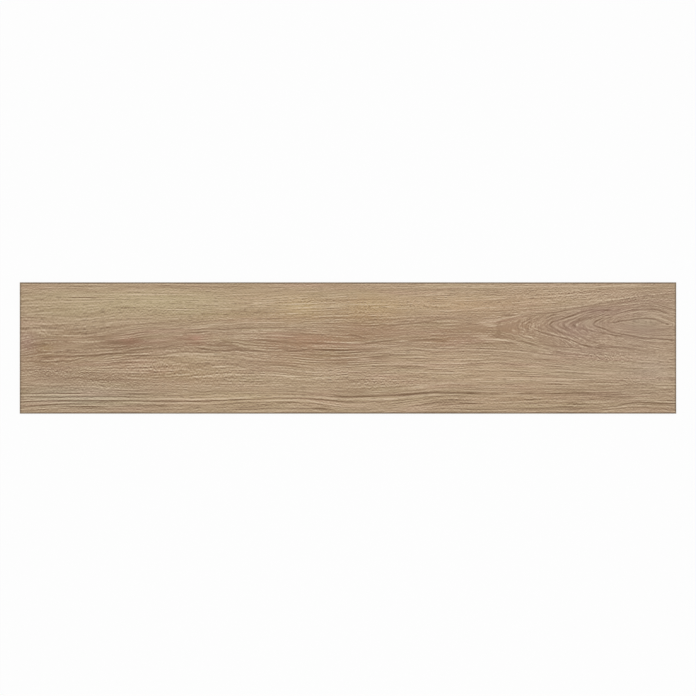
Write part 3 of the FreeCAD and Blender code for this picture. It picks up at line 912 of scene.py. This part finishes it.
# wood fibres along a grain vector: streaks of several lengths, each a noise less itself a row further on,
# which leaves thin rows without blotches; pin lines, waves across the grain shifted by a noise; long lines
# where a noise crosses its middle; and short dashes for pores, most cells of a stretched pattern left out
def fibreGroup():
    inputs = {"Grain": "Vector", "Long": "Float", "Pinned": "Float", "Flecked": "Float"}
    outputs = {"Tone": "Float", "Fine": "Float", "Pores": "Float"}
    group, given, wanted = newGroup("wood_fibres", inputs, outputs)
    at = given["Grain"]
    rowGap, rowGain = printLook["rowDifference"]
    nextRow = addNode(group, "ShaderNodeVectorMath", {0: at, 1: (0, rowGap, 0)}, operation="ADD").outputs[0]

    def stretched(place, along, across, detail=0.0):
        return addNoise(group, place, (1 / along, 1 / across, 1 / across), detail)

    def addRows(tone, layers):
        for along, across, strength in layers:
            here = stretched(at, along, across)
            rows = addMath(group, "SUBTRACT", here, stretched(nextRow, along, across))
            tone = addMath(group, "MULTIPLY_ADD", rows, rowGain * strength, tone)
        return tone, here

    tone = addMath(group, "MULTIPLY", addRows(0.0, printLook["flecks"])[0], given["Flecked"])
    tone, fine = addRows(tone, printLook["fineStreaks"] + printLook["streaks"])
    along, across, strength = printLook["broadBands"]
    bands = addRange(group, stretched(at, along, across), *noiseSpan, -strength, strength, "LINEAR")
    tone = addMath(group, "ADD", bands, tone)

    spacing, along, across, shift, strength = printLook["pinLines"]
    row = addMath(group, "DIVIDE", addNode(group, "ShaderNodeSeparateXYZ", {0: at}).outputs[1], spacing)
    row = addMath(group, "MULTIPLY_ADD", stretched(at, along, across, 1.0), shift, row)
    pins = addMath(group, "SINE", addMath(group, "MULTIPLY", row, 2 * np.pi))
    pins = addMath(group, "MULTIPLY", pins, addRange(group, fine, *printLook["pinSpan"], 0.0, strength))
    tone = addMath(group, "MULTIPLY_ADD", pins, given["Pinned"], tone)

    along, across, width, strength = printLook["longLines"]
    contour = addMath(group, "SUBTRACT", stretched(at, along, across, 1.0), 0.5)
    lines = addRange(group, addMath(group, "ABSOLUTE", contour), width, 0.0, 0.0, strength)
    tone = addMath(group, "SUBTRACT", tone, addMath(group, "MULTIPLY", lines, given["Long"]))

    pores = 0.0
    for lengths in printLook["poreCells"]:
        cellPlace = scaled(group, at, [1 / length for length in lengths])
        cells = addNode(group, "ShaderNodeTexVoronoi", {"Vector": cellPlace, "Scale": 1.0})
        chance = addNode(group, "ShaderNodeSeparateColor", {0: cells.outputs["Color"]}).outputs[0]
        kept = addRange(group, chance, *printLook["poresKept"])
        dash = addRange(group, cells.outputs["Distance"], *printLook["poreSize"])
        pores = addMath(group, "MAXIMUM", pores, addMath(group, "MULTIPLY", dash, kept))
    for name, value in (("Tone", tone), ("Fine", fine), ("Pores", pores)):
        group.links.new(value, wanted[name])
    return group


# printed glaze: washes inked darker and paler by the fibres and drawn lines, with painted shade along the
# arris, a painted highlight just inside it, and edge wear
def printedGlaze(fibres):
    material, tree, shader = newMaterial("printed_wood_glaze")
    look = printLook
    # where the guides crowd together, the rows of grain are drawn twice as wide, each from a place of its own
    flow = readAttribute(tree, "flow", "Vector")
    along, level, crowding = addNode(tree, "ShaderNodeSeparateXYZ", {0: flow}).outputs
    flow = addNode(tree, "ShaderNodeCombineXYZ", {0: along, 1: level}).outputs[0]
    noiseAlong, noiseAcross, shift, limit = look["wideRows"]
    ragged = addNoise(tree, flow, (1 / noiseAlong, 1 / noiseAcross, 1.0), 0.0)
    ragged = addRange(tree, ragged, *noiseSpan, -shift, shift, "LINEAR")
    wide = addMath(tree, "GREATER_THAN", addMath(tree, "ADD", crowding, ragged), limit)
    rows = addMath(tree, "MULTIPLY", level, addRange(tree, wide, 0, 1, 1.0, 0.5, "LINEAR"))
    flow = addNode(tree, "ShaderNodeCombineXYZ", {0: along, 1: rows}).outputs[0]

    # straight fibres, and curved ones inside the cathedral
    flecked = readAttribute(tree, "flecked", "Fac")
    sockets = {"Grain": flow, "Long": readAttribute(tree, "longGrain", "Fac"),
               "Pinned": readAttribute(tree, "pinned", "Fac"), "Flecked": flecked}
    straight = addNode(tree, "ShaderNodeGroup", sockets, node_tree=fibres)
    sockets = {"Grain": readAttribute(tree, "cathedral", "Vector"), "Pinned": 1.0, "Flecked": flecked}
    curved = addNode(tree, "ShaderNodeGroup", sockets, node_tree=fibres)
    inside = readAttribute(tree, "inside", "Fac")
    mixed = {}
    for name in ("Tone", "Fine", "Pores"):
        sides = {0: inside, 2: straight.outputs[name], 3: curved.outputs[name]}
        mixed[name] = addNode(tree, "ShaderNodeMix", sides).outputs[0]
    fine = mixed["Fine"]
    pores = mixed["Pores"]
    tone = addMath(tree, "MULTIPLY", mixed["Tone"], readAttribute(tree, "lively", "Fac"))

    # drawn lines, a little broken up by the fibres, which calm down under them
    drawn = readAttribute(tree, "drawn", "Fac")
    faint, full, left = look["underDrawn"]
    covered = addRange(tree, addMath(tree, "ABSOLUTE", drawn), faint, full, 1.0, left, "LINEAR")
    broken = addMath(tree, "MULTIPLY", drawn, addRange(tree, fine, *look["drawnBreaks"]))
    tone = addMath(tree, "ADD", addMath(tree, "MULTIPLY", tone, covered),
                   addMath(tree, "MULTIPLY", broken, look["drawnStrength"]))

    dark = addRange(tree, tone, 0.0, -look["fullTone"], 0.0, 1.0, "LINEAR")
    pale = addRange(tree, tone, 0.0, look["fullTone"], 0.0, 1.0, "LINEAR")
    noiseAlong, noiseAcross, reach, share = look["hueClouds"]
    hue = addNoise(tree, flow, (1 / noiseAlong, 1 / noiseAcross, 1.0), 2.0)
    colour = readAttribute(tree, "wash", "Color")
    colour = addMix(tree, addRange(tree, hue, 0.5, 0.5 + reach, 0.0, share), colour, look["rosy"])
    colour = addMix(tree, addRange(tree, hue, 0.5, 0.5 - reach, 0.0, share), colour, look["olive"])
    colour = addMix(tree, dark, colour, look["darkGrain"])
    colour = addMix(tree, pale, colour, look["paleGrain"])
    colour = addMix(tree, addMath(tree, "MULTIPLY", pores, look["poreShare"]), colour, look["poreInk"])

    # painted shade along the arris and over the bevel, and a painted highlight line just inside it
    endGap, longGap = readGaps(tree)[:2]
    # painted highlight line just inside the long edges
    edgeHighlight = addMath(tree, "MULTIPLY", addBand(tree, longGap, *look["paintedHighlightGaps"]), look["paintedHighlightShare"])
    colour = addMix(tree, edgeHighlight, colour, look["paintedEdgeHighlight"])
    # painted shade along the arris and over the bevel, patchy with the fibres
    edgeShades = []
    for gap, (start, full, share) in ((longGap, look["paintedShadeLong"]), (endGap, look["paintedShadeEnds"])):
        edgeShades.append(addRange(tree, gap, start, full, 0.0, share))
    edgeShade = addMath(tree, "MAXIMUM", *edgeShades)
    edgeShade = addMath(tree, "MULTIPLY", edgeShade, addRange(tree, fine, *noiseSpan, *look["paintedShadePatches"]))
    colour = addMix(tree, edgeShade, colour, look["bevelPaintedShade"])
    place = addNode(tree, "ShaderNodeTexCoord").outputs["Object"]
    rubbed = addNoise(tree, place, (look["wornNoise"],) * 3, 4.0, 0.65)
    worn = addRange(tree, addMath(tree, "MINIMUM", endGap, longGap), *look["wornGap"])
    worn = addMath(tree, "MULTIPLY", worn, addRange(tree, rubbed, *look["wornSpan"]))
    colour = addMix(tree, worn, colour, look["wornEdge"])

    height = addMath(tree, "SUBTRACT", addMath(tree, "MULTIPLY", fine, look["fibreHeight"]), pores)
    bump = addNode(tree, "ShaderNodeBump", {"Height": height, "Distance": look["bumpDepth"], "Strength": 1.0})
    fillShader(tree, shader, colour, fine, look["roughness"], look["specular"], bump)
    return material


bodyLook = {
    "clay": displayColour(184, 166, 141),
    "warmClay": displayColour(172, 146, 116),
    "greyClay": displayColour(176, 164, 148),
    "grit": displayColour(122, 102, 80),
    "paleGrit": displayColour(208, 196, 176),
    "grindDark": displayColour(150, 130, 104),
    "slip": displayColour(214, 204, 186),
    "glazeInk": displayColour(120, 98, 72),
    "kilnWash": displayColour(214, 208, 197),
    # colour of the darker band where the cell walls meet the cell floors
    "cellWallDark": displayColour(128, 108, 86),
    "clouds": (14, 0.35, 0.68),  # noise a metre, then where the second tone starts and is full
    "specks": 900,
    "grains": 330,
    "darkSpecks": (0.56, 0.68, 0.0, 0.5),  # noise from and to, share from and to
    "paleSpecks": (0.44, 0.34, 0.0, 0.45),
    "darkGrains": (0.66, 0.74, 0.0, 0.6),
    # walls: heights where the slip under the glaze starts and is full, share from and to, then the glaze's
    "slipHeights": (7.2, 7.45, 0.0, 0.85),
    "glazeHeights": (7.75, 8.0, 0.0, 0.9),
    "waver": 0.12,
    "grindStep": (0.06, 0.00028),  # lengths of the grinding marks along and up the wall, in metres
    "grindInk": (0.42, 0.66, 0.0, 0.55),
    "chatter": (160, 40, 1.0),
    "chatterInk": (0.5, 0.72, 0.0, 0.25),
    "grindDepth": 0.00002,  # metres
    "edgeRoughness": (0.5, 0.72),
    "edgeSpecular": 0.35,
    # back: noise of the wipes and dust, then heights where the wash ends and of the darker band where the
    # cell walls meet the cell floors
    "wipes": (9, 60, 30),
    "wipeSpan": (0.36, 0.62),
    "dust": (140, 140, 140),
    "dustSpan": (0.34, 0.6, 0.15, 0.85),
    "washHeights": (0.5, 0.05),
    "wallDarkHeights": (0.3, 0.62, 0.7, 0.799),
    "wallDarkShare": (0.2, 0.6),
    "gritDepth": 0.00006,  # metres
    "backRoughness": (0.72, 0.92),
    "backSpecular": 0.3,
}


# fired clay: clouds between two tones, dark and pale specks where fine noise runs high or low, also as height
def clayGroup():
    inputs = {"Tone": "Color", "Other Tone": "Color"}
    group, given, wanted = newGroup("fired_clay", inputs, {"Clay": "Color", "Height": "Float"})
    place = addNode(group, "ShaderNodeTexCoord").outputs["Object"]
    cloudScale, cloudFrom, cloudFull = bodyLook["clouds"]
    clouds = addNoise(group, place, (cloudScale,) * 3, 4.0, 0.6)
    specks = addNoise(group, place, (bodyLook["specks"],) * 3, 2.0, 0.6)
    grains = addNoise(group, place, (bodyLook["grains"],) * 3, 1.0)
    clay = addMix(group, addRange(group, clouds, cloudFrom, cloudFull), given["Tone"], given["Other Tone"])
    clay = addMix(group, addRange(group, specks, *bodyLook["darkSpecks"]), clay, bodyLook["grit"])
    clay = addMix(group, addRange(group, specks, *bodyLook["paleSpecks"]), clay, bodyLook["paleGrit"])
    clay = addMix(group, addRange(group, grains, *bodyLook["darkGrains"]), clay, bodyLook["grit"])
    group.links.new(clay, wanted["Clay"])
    group.links.new(addMath(group, "ADD", specks, grains), wanted["Height"])
    return group


# ground walls: fine marks along each wall, and at its head the slip and the edge of the glaze
def groundEdge(clay):
    material, tree, shader = newMaterial("ground_edge")
    tones = {"Tone": bodyLook["clay"], "Other Tone": bodyLook["warmClay"]}
    body = addNode(tree, "ShaderNodeGroup", tones, node_tree=clay).outputs
    place = addNode(tree, "ShaderNodeTexCoord").outputs["Object"]
    x, y, z = addNode(tree, "ShaderNodeSeparateXYZ", {0: place}).outputs
    run = addNode(tree, "ShaderNodeCombineXYZ", {0: addMath(tree, "ADD", x, y), 1: z}).outputs[0]
    along, up = bodyLook["grindStep"]
    marks = addNoise(tree, run, (1 / along, 1 / up, 1.0), 3.0, 0.6)
    chatter = addNoise(tree, run, bodyLook["chatter"], 1.0)
    colour = addMix(tree, addRange(tree, marks, *bodyLook["grindInk"]), body["Clay"], bodyLook["grindDark"])
    colour = addMix(tree, addRange(tree, chatter, *bodyLook["chatterInk"]), colour, bodyLook["paleGrit"])
    # the two lines waver a little along the wall
    waver = addRange(tree, chatter, *noiseSpan, -bodyLook["waver"], bodyLook["waver"], "LINEAR")
    height = addMath(tree, "ADD", readGaps(tree)[2], waver)
    colour = addMix(tree, addRange(tree, height, *bodyLook["slipHeights"]), colour, bodyLook["slip"])
    colour = addMix(tree, addRange(tree, height, *bodyLook["glazeHeights"]), colour, bodyLook["glazeInk"])
    depth = bodyLook["grindDepth"]
    bump = addNode(tree, "ShaderNodeBump", {"Height": marks, "Distance": depth}).outputs[0]
    bump = addNode(tree, "ShaderNodeBump", {"Height": body["Height"], "Distance": depth, "Normal": bump})
    fillShader(tree, shader, colour, marks, bodyLook["edgeRoughness"], bodyLook["edgeSpecular"], bump)
    return material


# pressed back: pale kiln wash worn onto the ribs and rim, and a darker band where the cell walls meet the
# cell floors
def pressedBack(clay):
    material, tree, shader = newMaterial("pressed_back")
    tones = {"Tone": bodyLook["greyClay"], "Other Tone": bodyLook["warmClay"]}
    body = addNode(tree, "ShaderNodeGroup", tones, node_tree=clay).outputs
    place = addNode(tree, "ShaderNodeTexCoord").outputs["Object"]
    height = readGaps(tree)[2]
    wipes = addNoise(tree, place, bodyLook["wipes"], 4.0, 0.62)
    dust = addNoise(tree, place, bodyLook["dust"], 3.0, 0.65)
    wash = addMath(tree, "MULTIPLY", addRange(tree, wipes, *bodyLook["wipeSpan"]),
                   addRange(tree, dust, *bodyLook["dustSpan"]))
    wash = addMath(tree, "MULTIPLY", wash, addRange(tree, height, *bodyLook["washHeights"]))
    # darker band where the cell walls meet the cell floors, patchy with the dust noise
    foot = addBand(tree, height, *bodyLook["wallDarkHeights"])
    wallDark = addMath(tree, "MULTIPLY", foot, addRange(tree, dust, *noiseSpan, *bodyLook["wallDarkShare"]))
    colour = addMix(tree, wallDark, body["Clay"], bodyLook["cellWallDark"])
    colour = addMix(tree, wash, colour, bodyLook["kilnWash"])
    bump = addNode(tree, "ShaderNodeBump", {"Height": body["Height"], "Distance": bodyLook["gritDepth"]})
    fillShader(tree, shader, colour, dust, bodyLook["backRoughness"], bodyLook["backSpecular"], bump)
    return material


# metres, watts and light levels, with only the frame's width in millimetres
studio = {
    "floorSize": 12.0,
    "floorDrop": 0.0002,
    "floorGrey": 0.85,
    "floorRoughness": 0.9,
    "floorGlow": 0.93,  # share of plain white in what the camera sees of the floor
    "frameWidth": 1060.04,
    "cameraHeight": 4.0,
    "domeLevel": 0.45,
    "lampSize": 2.6,
    "lampHeight": 2.6,
    "lampWatts": 42.5,
}


# 1 for rays that show the background: from the camera, off gloss or through glass
def seenRays(tree):
    path = addNode(tree, "ShaderNodeLightPath").outputs
    return addMath(tree, "MAXIMUM", path["Is Camera Ray"],
                   addMath(tree, "MAXIMUM", path["Is Glossy Ray"], path["Is Transmission Ray"]))


# white floor and dome, one soft lamp overhead, and a camera straight above
def buildStudio():
    half = studio["floorSize"] / 2
    level = -studio["floorDrop"]
    mesh = bpy.data.meshes.new("studio_floor")
    corners = [(-half, -half, level), (half, -half, level), (half, half, level), (-half, half, level)]
    mesh.from_pydata(corners, [], [(0, 1, 2, 3)])
    floor = bpy.data.objects.new("studio_floor", mesh)
    bpy.context.collection.objects.link(floor)
    material, tree, shader = newMaterial("white_floor")
    shader.inputs["Base Color"].default_value = (*[studio["floorGrey"]] * 3, 1)
    shader.inputs["Roughness"].default_value = studio["floorRoughness"]
    shader.inputs["Specular IOR Level"].default_value = 0.0
    glow = addNode(tree, "ShaderNodeEmission", {"Strength": 1.0})
    seen = addMath(tree, "MULTIPLY", seenRays(tree), studio["floorGlow"])
    blend = addNode(tree, "ShaderNodeMixShader", {0: seen, 1: shader.outputs[0], 2: glow.outputs[0]})
    tree.links.new(blend.outputs[0], tree.nodes["Material Output"].inputs["Surface"])
    mesh.materials.append(material)
    floor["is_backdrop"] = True

    world = bpy.data.worlds.new("studio_dome")
    bpy.context.scene.world = world
    world.use_nodes = True
    tree = world.node_tree
    strength = addRange(tree, seenRays(tree), 0, 1, studio["domeLevel"], 1.0, "LINEAR")
    tree.nodes["Background"].inputs["Color"].default_value = (1, 1, 1, 1)
    tree.links.new(strength, tree.nodes["Background"].inputs["Strength"])

    lamp = bpy.data.lights.new("overhead_softbox", "AREA")
    lamp.shape = "SQUARE"
    lamp.size = studio["lampSize"]
    lamp.energy = studio["lampWatts"]
    softbox = bpy.data.objects.new("overhead_softbox", lamp)
    softbox.location = (0, 0, studio["lampHeight"])
    softbox.visible_camera = False
    bpy.context.collection.objects.link(softbox)

    camera = bpy.data.cameras.new("overhead_camera")
    reach = studio["cameraHeight"] - plank["box"][1][2]
    camera.lens = camera.sensor_width * reach / (studio["frameWidth"] * mm)
    cameraObject = bpy.data.objects.new("overhead_camera", camera)
    cameraObject.location = (0, 0, studio["cameraHeight"])
    bpy.context.collection.objects.link(cameraObject)
    bpy.context.scene.camera = cameraObject
    bpy.context.scene.view_settings.view_transform = "Standard"
    print("studio ready")


piece = buildPlank()
clay = clayGroup()
piece.data.materials.append(printedGlaze(fibreGroup()))
piece.data.materials.append(groundEdge(clay))
piece.data.materials.append(pressedBack(clay))
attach(piece, "root")
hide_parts("plank_tile")
print("materials set")
buildStudio()

boxes = {"cad": cadBox, "visual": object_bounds()}
boxes = {name: [[float(v) for v in corner] for corner in box] for name, box in boxes.items()}
